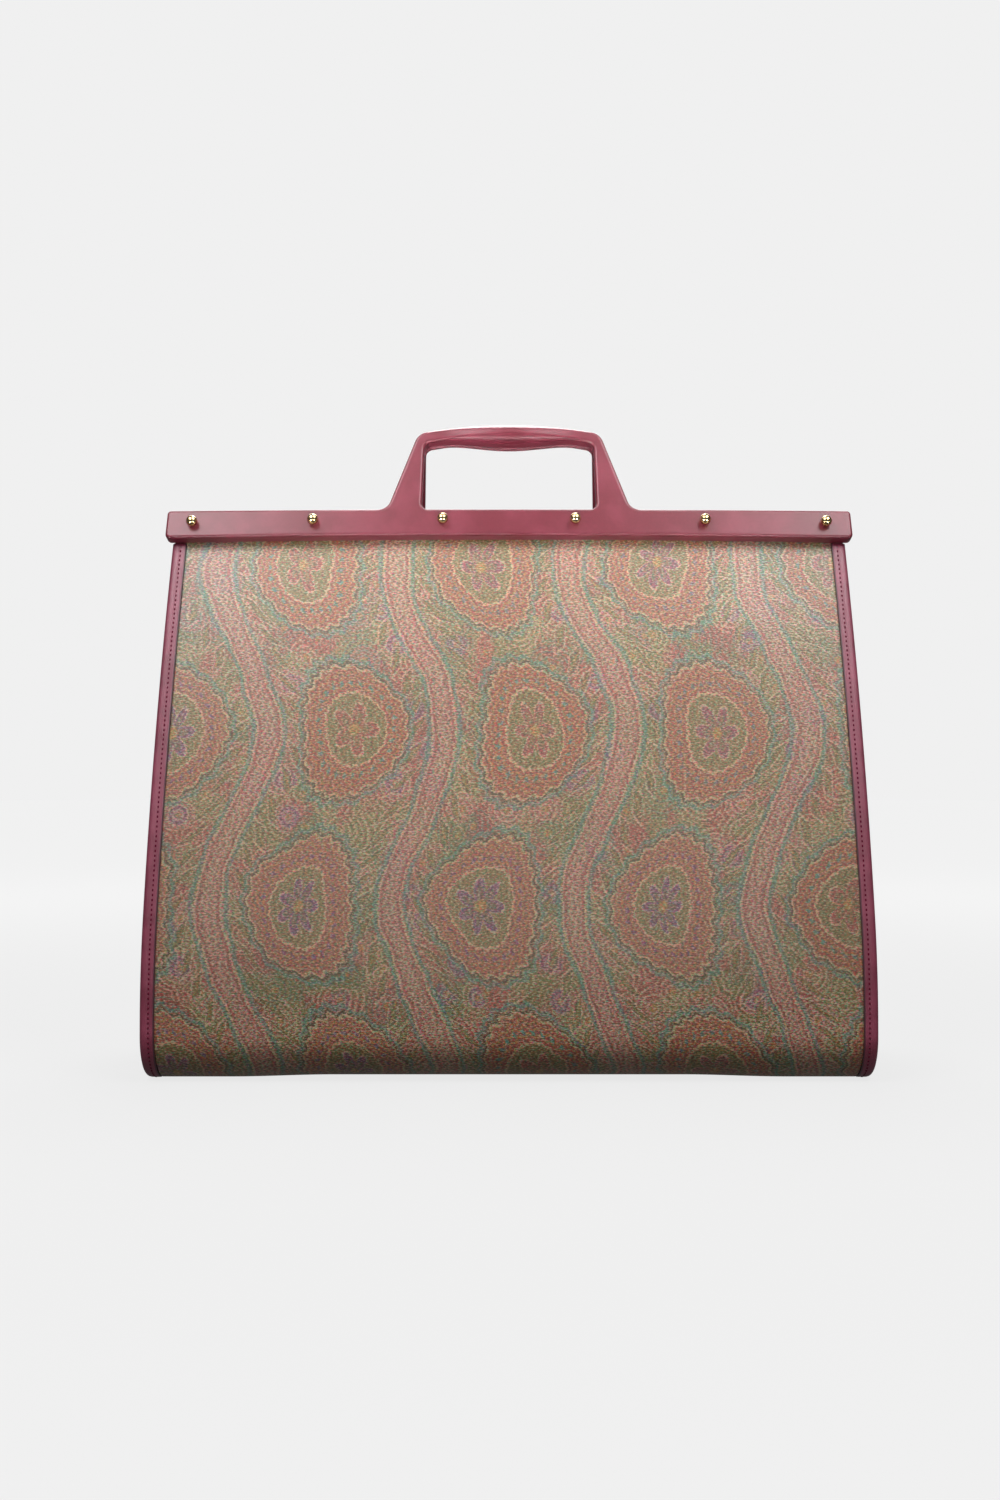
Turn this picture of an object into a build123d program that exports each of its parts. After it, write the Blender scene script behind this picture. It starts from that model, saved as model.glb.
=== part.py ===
from build123d import *
import os
from math import asin, atan, cos, degrees, pi, sin, sqrt, tan

# Tote bag with two moulded handle frames, in millimetres.
# X runs across the bag, the front faces -Y and Z is up. The origin is on the
# ground, under the middle of the base.

# Body
base_width = 392.0  # over the side bindings, up to the bend of the sides
side_draw = 9.85  # of each side, from its bend up to the foot of the bars
base_depth = 116.0  # over the canvas
base_corner_radius = 24.0
side_bend_height = 60.0  # below it the sides stand upright, above it they draw in
side_bend_reach = 31.4  # of the bend's round, up and down from its corner
bar_foot_height = 291.8  # where the canvas goes in behind the bars
straight_below_bar = 12.0

# Cloth and leather
canvas_thickness = 2.0
gusset_thickness = 1.4
leather_thickness = 1.2
binding_width = 8.0
binding_edge_chamfer = 1.2
gusset_setback = 1.0  # from the inner edge of the binding to the gusset's wall
fold_depth = 31.0  # of the gusset's fold at the mouth
gusset_drop = 6.0  # of the fold's top edge below the bindings' ends
fold_height_shares = (0.0, 0.34, 0.68, 1.0)
fold_depth_shares = (0.0, 0.02, 0.45, 1.0)
crease_depth_share = 1.18  # pull of the fold's curve, in fold depths, at the crease
flank_depth_share = 0.94  # and beside it
flank_width_share = 0.22  # half width of the crease's round, in half depths of the bag

# Base board
board_thickness = 3.0
board_end_gap = 2.0
board_corner_radius = 8.0

# Handle frames, moulded in one piece
bar_overhang = 3.1  # of each end past the bindings
bar_end_draft = 0.75  # of each end, over the bar's height
bar_height = 16.6
bar_crown = 1.1  # rise of the top edge in the middle
bar_bow = 2.0  # rise of the bottom edge in the middle
bar_depth = 7.5  # in front of the canvas
frame_edge_radius = 1.7
frame_back_chamfer = 0.6
bar_foot_corner_margin = 1.1  # of the bar's corner radii over its edge radius
bar_top_corner_margin = 0.5
handle_foot_width = 135.6
handle_foot_radius = 7.5
shoulder_width = 101.8
shoulder_height = 63.7  # above the foot of the bar
shoulder_radius = 8.5
arch_rise = 5.0
handle_gap = 2.4  # between the backs of the two grips, which lean together
hole_foot_width = 96.8
hole_top_width = 94.6
hole_foot_radius = 3.4
hole_top_radius = 4.6
grip_end_height = 6.8
grip_middle_height = 11.2
grip_swell = 3.0  # of the grip's front, in the middle
grip_round_share = 0.46  # radius of the grip's front edges in its height, in the middle
grip_length = 80.0
grip_section_shares = (-1.0, -0.7, 0.0, 0.7, 1.0)

# Facing strips, which back the canvas behind the bars
facing_height = 15.0
facing_thickness = 2.0
facing_end_margin = 7.0
facing_corner_radius = 2.0

# Ball studs through bar, canvas and facing
stud_inner_spread = 73.0  # between the two studs beside the middle
stud_end_inset = 15.1  # of the outermost studs from the bar's ends
stud_middle_share = 0.518  # of the way from the inner studs to the outermost
stud_height = 8.6  # above the foot of the bar, at the bar's ends
stud_ball_diameter = 6.2
stud_neck_diameter = 3.4
stud_neck_height = 0.5
stud_shank_diameter = 2.6
stud_clinch_diameter = 4.6
stud_clinch_height = 0.8

# Fits
fit_gap = 0.1  # between layers that lie on each other along curves
hole_clearance = 0.2  # on the diameter of a stud's hole
bar_gap = 0.3  # between the bindings' ends and the bar
overrun = 10.0  # of cutting shapes past what they cut

# Worked out from the sizes above
canvas_floor = leather_thickness + fit_gap
floor_half_depth = base_depth / 2 - base_corner_radius
corner_top = canvas_floor + base_corner_radius
handle_height = shoulder_height + arch_rise
wall_height = bar_foot_height - corner_top + straight_below_bar

# Tangent of half the walls' lean that brings the grips together, found by repeating its equation
half_lean_tangent = 0
for step in range(12):
    closing = (base_depth - handle_gap) / 2 * (1 + half_lean_tangent**2) - wall_height * half_lean_tangent**3
    half_lean_tangent = closing / (wall_height + 2 * handle_height)
lean = 2 * atan(half_lean_tangent)

mouth_width = base_width - 2 * side_draw
wall_radius = (bar_foot_height - corner_top - straight_below_bar * cos(lean)) / sin(lean)
bar_foot_depth = base_depth / 2 - wall_radius * (1 - cos(lean)) - straight_below_bar * sin(lean)
outline_top = bar_foot_height + bar_height
side_slope = side_draw / (bar_foot_height - side_bend_height)
side_bend_radius = side_bend_reach / tan(atan(side_slope) / 2)
flange_inset = canvas_thickness + fit_gap
seam_depth = flange_inset + gusset_thickness
cloth_edge_inset = leather_thickness + fit_gap
gusset_inset = binding_width + gusset_setback
canvas_run = straight_below_bar + facing_height
binding_run = straight_below_bar - bar_gap
fold_run = binding_run - gusset_drop
clinch_depth = canvas_thickness + facing_thickness
stud_length = bar_depth + clinch_depth
bar_length = mouth_width + 2 * bar_overhang
bar_top_length = bar_length - 2 * bar_end_draft
arch_radius = ((shoulder_width / 2) ** 2 + arch_rise**2) / (2 * arch_rise)
arch_centre_height = handle_height - arch_radius
grip_half_angle = asin(grip_length / 2 / arch_radius)
hole_half_angle = asin(hole_top_width / 2 / (arch_radius - grip_end_height))
bar_crown_height = bar_height + bar_crown
bow_radius = ((bar_length / 2) ** 2 + bar_bow**2) / (2 * bar_bow)
stud_outer_spread = bar_length - 2 * stud_end_inset
stud_middle_spread = stud_inner_spread + stud_middle_share * (stud_outer_spread - stud_inner_spread)

frame_normal = Vector(0, -cos(lean), sin(lean))
frame_plane = Plane((0, -bar_foot_depth, bar_foot_height), x_dir=(1, 0, 0), z_dir=frame_normal)
frame_axis = Axis(frame_plane.origin, frame_normal)


def wall_line(inset, run):
    """Draw the front half of the body's section, from the floor's middle up, and give its last line."""
    floor_line = Line((0, canvas_floor + inset), (-floor_half_depth, canvas_floor + inset))
    corner = JernArc(floor_line @ 1, (-1, 0), base_corner_radius - inset, -90)
    wall = JernArc(corner @ 1, (0, 1), wall_radius - inset, -degrees(lean))
    return Line(wall @ 1, wall @ 1 + (wall % 1) * run)


def wall_ring(outer_inset, inner_inset, run):
    """Section of one layer of the body, between two insets from the canvas's outer face."""
    with BuildSketch(Plane.YZ) as ring:
        with BuildLine():
            outer_top = wall_line(outer_inset, run)
            inner_top = wall_line(inner_inset, run)
            Line(outer_top @ 1, inner_top @ 1)
            mirror(about=Plane.YZ)
        make_face()
    return ring.sketch


def wall_inside(inset, run):
    """Section of the space inside a layer of the body, closed across the mouth."""
    with BuildSketch(Plane.YZ) as inside:
        with BuildLine():
            top = wall_line(inset, run)
            Line(top @ 1, (0, (top @ 1).Y))
            mirror(about=Plane.YZ)
        make_face()
    return inside.sketch


def half_width(height):
    """Half of the body's outer width, before the bend of its sides is rounded."""
    return base_width / 2 - side_slope * max(height - side_bend_height, 0)


def half_depth(height):
    """Half of the canvas's outer depth, with its lower corners left square."""
    rise = max(height - corner_top, 0)
    return base_depth / 2 - wall_radius + sqrt(wall_radius**2 - rise**2)


def side_line(inset):
    """Draw the right side of the body's front outline, an inset in from its outer edge."""
    foot = (half_width(0) - inset, -overrun)
    bend = (half_width(side_bend_height) - inset, side_bend_height)
    top = (half_width(outline_top) - inset, outline_top)
    return FilletPolyline(foot, bend, top, radius=side_bend_radius)


def side_band(outer_inset, inner_inset):
    """Band along the right side of the body's front outline, between two insets."""
    with BuildSketch(Plane.XZ) as band:
        with BuildLine():
            outer = side_line(outer_inset)
            inner = side_line(inner_inset)
            Line(outer @ 0, inner @ 0)
            Line(outer @ 1, inner @ 1)
        make_face()
    return band.sketch


def front_outline(inset):
    """The body's whole front outline, an inset in from its outer edge."""
    with BuildSketch(Plane.XZ) as outline:
        with BuildLine():
            side = side_line(inset)
            Line(side @ 0, (0, (side @ 0).Y))
            Line(side @ 1, (0, (side @ 1).Y))
            mirror(about=Plane.YZ)
        make_face()
    return outline.sketch


def bar_rise(across):
    """Rise of the bar's bow at a place across it, from the bow at its ends."""
    return sqrt(bow_radius**2 - across**2) - bow_radius + bar_bow


def arch_point(angle, inset):
    """Point on the frame's plane at an angle round the handle's arch, an inset in from its top edge."""
    radius = arch_radius - inset
    return (radius * sin(angle), arch_centre_height + radius * cos(angle))


def grip_plane(angle):
    """Plane square to the handle's arch, with its origin on the arch's top edge at the frame's back."""
    origin = frame_plane.from_local_coords(arch_point(angle, 0))
    along = frame_plane.x_dir * -cos(angle) + frame_plane.y_dir * sin(angle)
    return Plane(origin, x_dir=frame_normal, z_dir=along)


def clear_of_grip(edge):
    """Whether an edge of the frame lies outside the gap that the grip fills."""
    place = frame_plane.to_local_coords(edge.center())
    return abs(place.X) > grip_length / 2 or place.Y < shoulder_height / 2


front_stud_locations = []
for spread in (stud_inner_spread, stud_middle_spread, stud_outer_spread):
    for across in (-spread / 2, spread / 2):
        place = Location((across, stud_height + bar_rise(across), 0))
        front_stud_locations.append(frame_plane.location * place)
back_stud_locations = [Rotation(0, 0, 180) * place for place in front_stud_locations]


# Canvas: one sheet that makes the front, the floor and the back
with BuildPart() as body_panel:
    extrude(wall_ring(0, canvas_thickness, canvas_run), amount=base_width / 2, both=True)
    extrude(front_outline(cloth_edge_inset), amount=base_depth, both=True, mode=Mode.INTERSECT)
    with Locations(*front_stud_locations, *back_stud_locations):
        Cylinder((stud_shank_diameter + hole_clearance) / 2, 2 * clinch_depth, mode=Mode.SUBTRACT)
body_panel.part.label = "body_panel"

# Gussets: a wall that folds inwards towards the mouth, with a flange sewn to the canvas
with BuildPart() as fold_wall:
    for height_share, depth_share in zip(fold_height_shares, fold_depth_shares):
        height = height_share * bar_foot_height
        depth = depth_share * fold_depth
        reach = half_depth(height)
        edge = half_width(height) - gusset_inset
        slant_thickness = gusset_thickness * sqrt(1 + (depth / reach) ** 2)
        with BuildSketch(Plane.XY.offset(height)):
            with BuildLine():
                faces = []
                for face_x in (edge, edge - slant_thickness):
                    faces.append(
                        Bezier(
                            (face_x, -reach),
                            (face_x - flank_depth_share * depth, -flank_width_share * reach),
                            (face_x - crease_depth_share * depth, 0),
                            (face_x - flank_depth_share * depth, flank_width_share * reach),
                            (face_x, reach),
                        )
                    )
                Line(faces[0] @ 0, faces[1] @ 0)
                Line(faces[0] @ 1, faces[1] @ 1)
            make_face()
    loft()
    extrude(wall_inside(flange_inset, fold_run), amount=base_width / 2, mode=Mode.INTERSECT)

with BuildPart() as right_gusset:
    extrude(wall_ring(flange_inset, seam_depth, binding_run), amount=base_width / 2)
    extrude(
        side_band(cloth_edge_inset, gusset_inset + gusset_thickness / 2),
        amount=base_depth,
        both=True,
        mode=Mode.INTERSECT,
    )
    add(fold_wall.part)
right_gusset.part.label = "right_gusset"

with BuildPart() as left_gusset:
    add(right_gusset.part, rotation=(0, 0, 180))
left_gusset.part.label = "left_gusset"

# Bindings: leather folded round the seam of canvas and gusset
with BuildPart() as seam_core:
    extrude(wall_ring(-fit_gap, seam_depth + fit_gap, binding_run + overrun), amount=base_width / 2)
    extrude(
        side_band(leather_thickness, binding_width + overrun),
        amount=base_depth,
        both=True,
        mode=Mode.INTERSECT,
    )

with BuildPart() as right_binding:
    binding_inner_inset = seam_depth + fit_gap + leather_thickness
    extrude(wall_ring(-canvas_floor, binding_inner_inset, binding_run), amount=base_width / 2)
    extrude(side_band(0, binding_width), amount=base_depth, both=True, mode=Mode.INTERSECT)
    side_faces = right_binding.faces().filter_by(lambda face: face.normal_at().X > cos(lean))
    rim = side_faces.edges().filter_by(lambda edge: edge.length > 2 * binding_inner_inset)
    chamfer(rim, binding_edge_chamfer)
    add(seam_core.part, mode=Mode.SUBTRACT)
right_binding.part.label = "right_binding"

with BuildPart() as left_binding:
    add(right_binding.part, rotation=(0, 0, 180))
left_binding.part.label = "left_binding"

# Base board, loose on the floor of the bag
with BuildPart() as base_board:
    with BuildSketch(Plane.XY.offset(canvas_floor + canvas_thickness)):
        board_width = base_width - 2 * (gusset_inset + gusset_thickness + board_end_gap)
        RectangleRounded(board_width, 2 * floor_half_depth, board_corner_radius)
    extrude(amount=board_thickness)
base_board.part.label = "base_board"

# Handle frame: bar, legs and a grip with a flat back and a rounded front, moulded as one piece
with BuildPart() as front_handle_frame:
    with BuildSketch(frame_plane) as plate:
        with BuildLine():
            foot = ThreePointArc((-bar_length / 2, 0), (0, bar_bow), (bar_length / 2, 0))
            top = ThreePointArc(
                (bar_top_length / 2, bar_height), (0, bar_crown_height), (-bar_top_length / 2, bar_height)
            )
            Line(foot @ 1, top @ 0)
            Line(top @ 1, foot @ 0)
        make_face()
        with BuildLine():
            arch = ThreePointArc(
                (shoulder_width / 2, shoulder_height),
                (0, handle_height),
                (-shoulder_width / 2, shoulder_height),
            )
            Polyline(
                arch @ 1,
                (-handle_foot_width / 2, bar_height),
                (handle_foot_width / 2, bar_height),
                arch @ 0,
            )
        make_face()
        fillet(plate.vertices().group_by(Axis.Y)[-1], shoulder_radius)
        fillet(plate.vertices().group_by(Axis.Y)[2], handle_foot_radius)
        fillet(plate.vertices().group_by(Axis.Y)[1], frame_edge_radius + bar_top_corner_margin)
        fillet(plate.vertices().group_by(Axis.Y)[0], frame_edge_radius + bar_foot_corner_margin)
    extrude(amount=bar_depth)
    with BuildSketch(frame_plane) as hand_hole:
        with BuildLine():
            hole_arc = ThreePointArc(
                arch_point(-hole_half_angle, grip_end_height),
                arch_point(0, grip_end_height),
                arch_point(hole_half_angle, grip_end_height),
            )
            Polyline(
                hole_arc @ 1,
                (hole_foot_width / 2, bar_crown_height),
                (-hole_foot_width / 2, bar_crown_height),
                hole_arc @ 0,
            )
        make_face()
        fillet(hand_hole.vertices().group_by(Axis.Y)[0], hole_foot_radius)
        fillet(hand_hole.vertices().group_by(Axis.Y)[-1], hole_top_radius)
    extrude(amount=bar_depth, mode=Mode.SUBTRACT)
    with BuildSketch(frame_plane):
        with BuildLine():
            Polyline(
                arch_point(-grip_half_angle, grip_end_height + overrun),
                arch_point(-grip_half_angle, -overrun),
                arch_point(grip_half_angle, -overrun),
                arch_point(grip_half_angle, grip_end_height + overrun),
                close=True,
            )
        make_face()
    extrude(amount=bar_depth, mode=Mode.SUBTRACT)
    front_rim = front_handle_frame.faces().sort_by(frame_axis)[-1].edges()
    back_rim = front_handle_frame.faces().sort_by(frame_axis)[0].edges()
    fillet(front_rim.filter_by(clear_of_grip), frame_edge_radius)
    chamfer(back_rim.filter_by(clear_of_grip), frame_back_chamfer)
    for share in grip_section_shares:
        swell = cos(share * pi / 2) ** 2
        height = grip_end_height + (grip_middle_height - grip_end_height) * swell
        radius = frame_edge_radius + (grip_round_share * grip_middle_height - frame_edge_radius) * swell
        with BuildSketch(grip_plane(share * grip_half_angle)) as section:
            Rectangle(bar_depth + grip_swell * swell, height, align=(Align.MIN, Align.MAX))
            fillet(section.vertices().group_by(Axis.X)[-1], radius)
            chamfer(section.vertices().group_by(Axis.X)[0], frame_back_chamfer)
    loft()
    with Locations(*front_stud_locations):
        Cylinder((stud_shank_diameter + hole_clearance) / 2, 2 * stud_length, mode=Mode.SUBTRACT)
front_handle_frame.part.label = "front_handle_frame"

with BuildPart() as back_handle_frame:
    add(front_handle_frame.part, rotation=(0, 0, 180))
back_handle_frame.part.label = "back_handle_frame"

# Facing strips behind the canvas
with BuildPart() as front_facing_strip:
    with BuildSketch(frame_plane.offset(-canvas_thickness)) as facing:
        Rectangle(bar_length - 2 * facing_end_margin, facing_height, align=(Align.CENTER, Align.MIN))
        fillet(facing.vertices(), facing_corner_radius)
    extrude(amount=-facing_thickness)
    with Locations(*front_stud_locations):
        Cylinder((stud_shank_diameter + hole_clearance) / 2, 2 * stud_length, mode=Mode.SUBTRACT)
front_facing_strip.part.label = "front_facing_strip"

with BuildPart() as back_facing_strip:
    add(front_facing_strip.part, rotation=(0, 0, 180))
back_facing_strip.part.label = "back_facing_strip"

# Ball studs, clinched on the facing strips
with BuildPart() as stud:
    with BuildSketch(Plane.XZ):
        with BuildLine():
            neck_top = bar_depth + stud_neck_height
            ball_radius = stud_ball_diameter / 2
            neck_radius = stud_neck_diameter / 2
            ball_centre = neck_top + sqrt(ball_radius**2 - neck_radius**2)
            ball = ThreePointArc(
                (neck_radius, neck_top), (ball_radius, ball_centre), (0, ball_centre + ball_radius)
            )
            Polyline(
                ball @ 1,
                (0, -clinch_depth - stud_clinch_height),
                (stud_shank_diameter / 2, -clinch_depth - stud_clinch_height),
                (stud_clinch_diameter / 2, -clinch_depth),
                (stud_shank_diameter / 2, -clinch_depth),
                (stud_shank_diameter / 2, bar_depth),
                (neck_radius, bar_depth),
                ball @ 0,
            )
        make_face()
    revolve(axis=Axis.Z)

with BuildPart() as front_studs:
    with Locations(*front_stud_locations):
        add(stud.part)
front_studs.part.label = "front_studs"

with BuildPart() as back_studs:
    with Locations(*back_stud_locations):
        add(stud.part)
back_studs.part.label = "back_studs"

pieces = (
    body_panel,
    left_gusset,
    right_gusset,
    left_binding,
    right_binding,
    base_board,
    front_handle_frame,
    back_handle_frame,
    front_facing_strip,
    back_facing_strip,
    front_studs,
    back_studs,
)
os.makedirs("parts", exist_ok=True)
for piece in pieces:
    export_step(piece.part, f"parts/{piece.part.label}.step")
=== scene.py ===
import bpy
from math import atan, cos, pi, radians, sin, sqrt, tan
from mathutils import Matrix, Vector, noise


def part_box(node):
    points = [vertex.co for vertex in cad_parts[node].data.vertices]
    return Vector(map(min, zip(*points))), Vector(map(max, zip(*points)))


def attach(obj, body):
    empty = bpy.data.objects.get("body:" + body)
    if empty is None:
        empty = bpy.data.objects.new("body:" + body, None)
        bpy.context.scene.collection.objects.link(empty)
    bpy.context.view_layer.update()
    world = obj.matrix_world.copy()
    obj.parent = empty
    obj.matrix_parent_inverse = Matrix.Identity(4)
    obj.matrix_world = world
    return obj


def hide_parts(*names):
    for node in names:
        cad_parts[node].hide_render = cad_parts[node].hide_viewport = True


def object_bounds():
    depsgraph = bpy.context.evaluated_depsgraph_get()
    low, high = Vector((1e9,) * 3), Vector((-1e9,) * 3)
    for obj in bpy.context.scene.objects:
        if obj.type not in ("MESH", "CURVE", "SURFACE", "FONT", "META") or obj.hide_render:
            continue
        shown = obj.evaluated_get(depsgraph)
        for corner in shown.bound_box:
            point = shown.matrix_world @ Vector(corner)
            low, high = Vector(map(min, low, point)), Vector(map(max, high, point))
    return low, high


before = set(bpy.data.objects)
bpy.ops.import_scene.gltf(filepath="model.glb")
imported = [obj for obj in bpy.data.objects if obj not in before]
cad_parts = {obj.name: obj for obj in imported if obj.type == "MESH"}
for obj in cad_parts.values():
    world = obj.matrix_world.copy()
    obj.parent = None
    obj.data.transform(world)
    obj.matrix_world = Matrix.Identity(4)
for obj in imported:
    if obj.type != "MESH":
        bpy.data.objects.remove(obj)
cad_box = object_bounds()
canvas_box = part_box("body_panel")

# Shapes are worked out in millimetres, with X across the bag, the front at -Y and Z up
MM = 0.001


def frame_size(box, axis):
    """Size of a box of the frame along an axis, to a hundredth of a millimetre."""
    return round((box[1][axis] - box[0][axis]) / MM, 2)


# Body: its width and depth from the frame, its other sizes as the solids have them
BASE_WIDTH = frame_size(cad_box, 0)
BASE_DEPTH = frame_size(canvas_box, 1)
BASE_CORNER_RADIUS = 24.0
SIDE_DRAW = 9.85  # of each side towards the middle, from the bend up to the bars
SIDE_BEND_HEIGHT = 60.0
SIDE_BEND_REACH = 31.4
BAR_FOOT_HEIGHT = 291.8
STRAIGHT_BELOW_BAR = 12.0
HANDLE_HEIGHT = 68.7
HANDLE_GAP = 2.4
CANVAS_THICKNESS = 2.0
GUSSET_THICKNESS = 1.4
LEATHER_THICKNESS = 1.2
BINDING_WIDTH = 8.0
GUSSET_SETBACK = 1.0
GUSSET_DROP = 6.0
FOLD_DEPTH = 31.0
FACING_HEIGHT = 15.0
FIT_GAP = 0.1
BAR_GAP = 0.3

CANVAS_FLOOR = LEATHER_THICKNESS + FIT_GAP
FLOOR_HALF_DEPTH = BASE_DEPTH / 2 - BASE_CORNER_RADIUS
CORNER_TOP = CANVAS_FLOOR + BASE_CORNER_RADIUS
CLOTH_EDGE_INSET = LEATHER_THICKNESS + FIT_GAP
FLANGE_INSET = CANVAS_THICKNESS + FIT_GAP
SEAM_DEPTH = FLANGE_INSET + GUSSET_THICKNESS
GUSSET_INSET = BINDING_WIDTH + GUSSET_SETBACK
LEAN_STEPS = 12  # in which the closing lean is worked out


def closing_lean():
    """Lean of the walls, in radians, that brings the two grips together."""
    wall_height = BAR_FOOT_HEIGHT - CORNER_TOP + STRAIGHT_BELOW_BAR
    tangent = 0
    for step in range(LEAN_STEPS):
        closing = (BASE_DEPTH - HANDLE_GAP) / 2 * (1 + tangent**2) - wall_height * tangent**3
        tangent = closing / (wall_height + 2 * HANDLE_HEIGHT)
    return 2 * atan(tangent)


LEAN = closing_lean()
WALL_RADIUS = (BAR_FOOT_HEIGHT - CORNER_TOP - STRAIGHT_BELOW_BAR * cos(LEAN)) / sin(LEAN)
SIDE_SLOPE = SIDE_DRAW / (BAR_FOOT_HEIGHT - SIDE_BEND_HEIGHT)
SIDE_BEND_RADIUS = SIDE_BEND_REACH / tan(atan(SIDE_SLOPE) / 2)

# Runs along the body's section, from the middle of the floor
WALL_FOOT = FLOOR_HALF_DEPTH + BASE_CORNER_RADIUS * pi / 2
WALL_TOP = WALL_FOOT + WALL_RADIUS * LEAN
CANVAS_TOP = WALL_TOP + STRAIGHT_BELOW_BAR + FACING_HEIGHT
BINDING_TOP = WALL_TOP + STRAIGHT_BELOW_BAR - BAR_GAP
GUSSET_TOP = BINDING_TOP - GUSSET_DROP


def wall_point(run, out):
    """(y, z) of a place on the body's section: run along the canvas's outer face from the middle of the
    floor, towards the front if positive, and out from that face."""
    along = abs(run)
    side = -1 if run > 0 else 1
    if along <= FLOOR_HALF_DEPTH:
        return side * along, CANVAS_FLOOR - out
    if along <= WALL_FOOT:
        angle = (along - FLOOR_HALF_DEPTH) / BASE_CORNER_RADIUS
        radius = BASE_CORNER_RADIUS + out
        return side * (FLOOR_HALF_DEPTH + radius * sin(angle)), CORNER_TOP - radius * cos(angle)
    angle = min((along - WALL_FOOT) / WALL_RADIUS, LEAN)
    beyond = max(along - WALL_TOP, 0)
    radius = WALL_RADIUS + out
    depth = BASE_DEPTH / 2 - WALL_RADIUS + radius * cos(angle) - beyond * sin(angle)
    return side * depth, CORNER_TOP + radius * sin(angle) + beyond * cos(angle)


def half_width(height):
    """Half of the body's width over the bindings, at a height."""
    rise = height - (SIDE_BEND_HEIGHT - SIDE_BEND_REACH)
    if rise <= 0:
        return BASE_WIDTH / 2
    if rise < SIDE_BEND_RADIUS * sin(atan(SIDE_SLOPE)):
        return BASE_WIDTH / 2 - SIDE_BEND_RADIUS + sqrt(SIDE_BEND_RADIUS**2 - rise**2)
    return BASE_WIDTH / 2 - SIDE_SLOPE * (height - SIDE_BEND_HEIGHT)


def blend_step(low, high, value):
    """Smooth step from 0 at low to 1 at high."""
    share = min(max((value - low) / (high - low), 0), 1)
    return share * share * (3 - 2 * share)


# Meshes


def add_piece(name, points, faces, materials, face_materials=None, flat=None):
    """Mesh object from points in millimetres, riding on the bag, with the points' places on the flat cloth
    or leather as an attribute if they are given."""
    mesh = bpy.data.meshes.new(name)
    mesh.from_pydata([Vector(point) * MM for point in points], [], faces)
    for material in materials:
        mesh.materials.append(material)
    if face_materials:
        mesh.polygons.foreach_set("material_index", face_materials)
    mesh.polygons.foreach_set("use_smooth", [True] * len(faces))
    if flat:
        places = mesh.attributes.new("flat_mm", "FLOAT_VECTOR", "POINT")
        places.data.foreach_set("vector", [value for place in flat for value in place])
    mesh.update()
    piece = bpy.data.objects.new(name, mesh)
    bpy.context.scene.collection.objects.link(piece)
    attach(piece, "root")
    return piece


def grid_faces(rows, columns, flip=False):
    """Quads of a grid of points, row by row."""
    faces = []
    for row in range(rows - 1):
        for column in range(columns - 1):
            corner = row * columns + column
            quad = (corner, corner + 1, corner + columns + 1, corner + columns)
            faces.append(quad[::-1] if flip else quad)
    return faces


def tube_faces(start, rings, count, flip):
    """Quads and end faces of a closed tube, whose rings of points follow one another from a start."""
    faces = []
    for ring in range(rings - 1):
        for corner in range(count):
            here = start + ring * count + corner
            following = start + ring * count + (corner + 1) % count
            faces.append((here, following, following + count, here + count))
    first = tuple(range(start, start + count))
    last = tuple(corner + (rings - 1) * count for corner in first)
    faces += [first[::-1], last]
    return [face[::-1] for face in faces] if flip else faces


def thick_sheet(faces, outer_points, inner_points):
    """Closed sheet from one net of faces over two sets of points: its points, its faces, and which of those
    are on the inner side or the rim."""
    count = len(outer_points)
    rim = {}
    for face in faces:
        for here, there in zip(face, face[1:] + face[:1]):
            if (there, here) in rim:
                del rim[(there, here)]
            else:
                rim[(here, there)] = True
    inner_faces = [tuple(corner + count for corner in face[::-1]) for face in faces]
    rim_faces = [(there, here, here + count, there + count) for here, there in rim]
    kinds = [0] * len(faces) + [1] * (len(inner_faces) + len(rim_faces))
    return outer_points + inner_points, faces + inner_faces + rim_faces, kinds


# Materials, written with fields: numbers that vary over a surface


def srgb(red, green, blue):
    """Linear colour of an sRGB triple from 0 to 255."""
    linear = []
    for value in (red, green, blue):
        share = value / 255
        linear.append(share / 12.92 if share <= 0.04045 else ((share + 0.055) / 1.055) ** 2.4)
    return (*linear, 1)


# An edge is a pair: the value where an ink starts and the value where it is full
# A line is a triple: its place, its half width and the softness of its edges
HAIRLINE = 0.3
LINE_SOFT = 0.45
NOISE_MIDDLE = 0.5


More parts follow.
